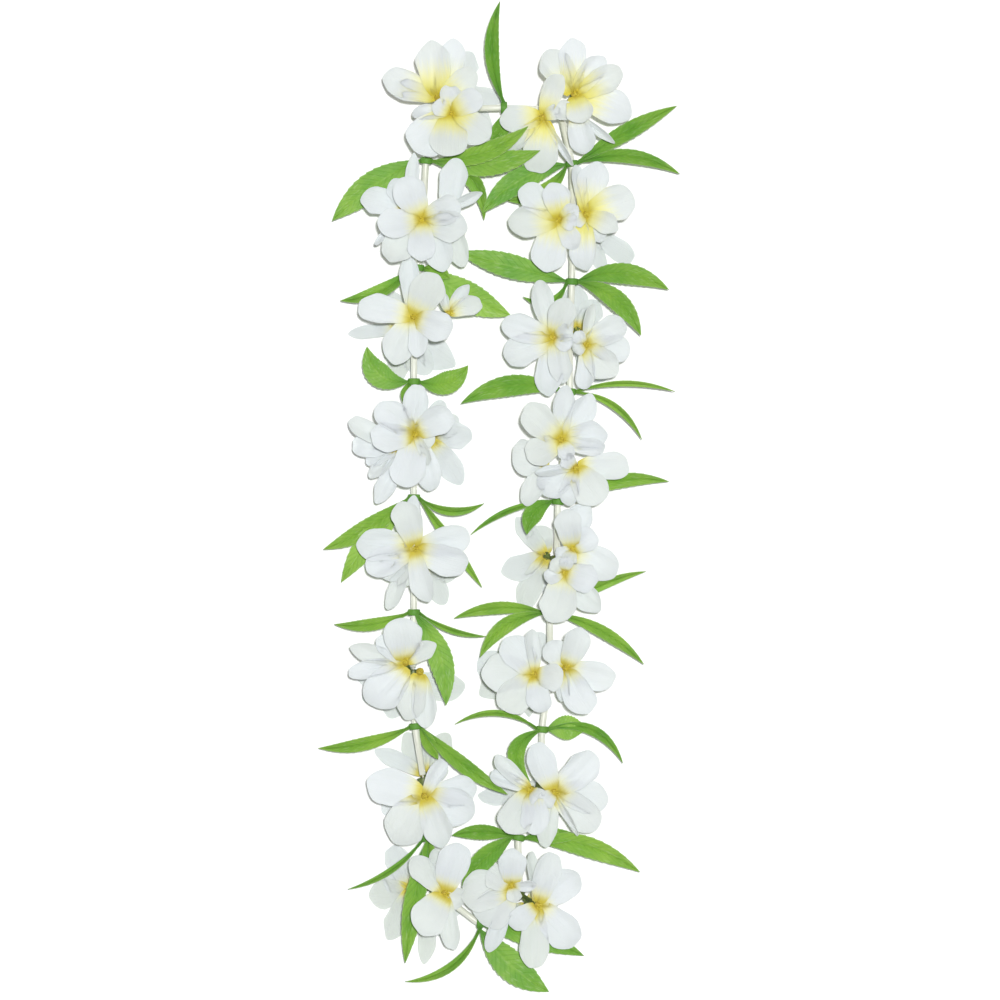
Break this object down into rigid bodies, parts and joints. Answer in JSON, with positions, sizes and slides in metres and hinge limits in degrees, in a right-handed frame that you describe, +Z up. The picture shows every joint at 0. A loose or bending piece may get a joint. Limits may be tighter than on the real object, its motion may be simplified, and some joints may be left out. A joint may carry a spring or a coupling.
{
  "type": "flower lei",
  "caption": "Flower lei laid flat as a long closed loop: clusters of white fabric flowers with gold eyes, green serrated leaf whorls and milky spacer tubes on a cord.",
  "frame": {"origin": "centre of the bounding box, on the surface that the lei lies on", "axes": "+Z up, away from that surface; +Y along the loop's long way, towards its upper end in the picture"},
  "size_m": [0.181, 0.4955, 0.0329],
  "materials": {
    "petal_white": "soft matt white fabric, a little translucent, with a yellow throat",
    "leaf_green": "satin printed green fabric with embossed veins",
    "tube_milky": "milky smooth plastic",
    "cord_cream": "pale twisted cord",
    "eye_gold": "gold moulded stamens",
    "hub_green": "olive green moulded plastic"
  },
  "bodies": {
    "root": {"flower_cluster_left_1": "petal_white", "flower_cluster_left_2": "petal_white", "flower_cluster_left_3": "petal_white", "flower_cluster_left_4": "petal_white", "flower_cluster_left_5": "petal_white", "flower_cluster_left_6": "petal_white", "flower_cluster_left_7": "petal_white", "flower_cluster_left_8": "petal_white", "flower_cluster_right_8": "petal_white", "flower_cluster_right_7": "petal_white", "flower_cluster_right_6": "petal_white", "flower_cluster_right_5": "petal_white", "flower_cluster_right_4": "petal_white", "flower_cluster_right_3": "petal_white", "flower_cluster_right_2": "petal_white", "flower_cluster_right_1": "petal_white", "leaf_whorl_left_1": "leaf_green", "leaf_whorl_left_2": "leaf_green", "leaf_whorl_left_3": "leaf_green", "leaf_whorl_left_4": "leaf_green", "leaf_whorl_left_5": "leaf_green", "leaf_whorl_left_6": "leaf_green", "leaf_whorl_left_7": "leaf_green", "leaf_whorl_left_8": "leaf_green", "leaf_whorl_right_8": "leaf_green", "leaf_whorl_right_7": "leaf_green", "leaf_whorl_right_6": "leaf_green", "leaf_whorl_right_5": "leaf_green", "leaf_whorl_right_4": "leaf_green", "leaf_whorl_right_3": "leaf_green", "leaf_whorl_right_2": "leaf_green", "leaf_whorl_right_1": "leaf_green", "spacer_tube_left_1": "tube_milky", "spacer_tube_left_2": "tube_milky", "spacer_tube_left_3": "tube_milky", "spacer_tube_left_4": "tube_milky", "spacer_tube_left_5": "tube_milky", "spacer_tube_left_6": "tube_milky", "spacer_tube_left_7": "tube_milky", "spacer_tube_left_8": "tube_milky", "spacer_tube_right_8": "tube_milky", "spacer_tube_right_7": "tube_milky", "spacer_tube_right_6": "tube_milky", "spacer_tube_right_5": "tube_milky", "spacer_tube_right_4": "tube_milky", "spacer_tube_right_3": "tube_milky", "spacer_tube_right_2": "tube_milky", "spacer_tube_right_1": "tube_milky", "cord": "cord_cream"}
  },
  "joints": []
}
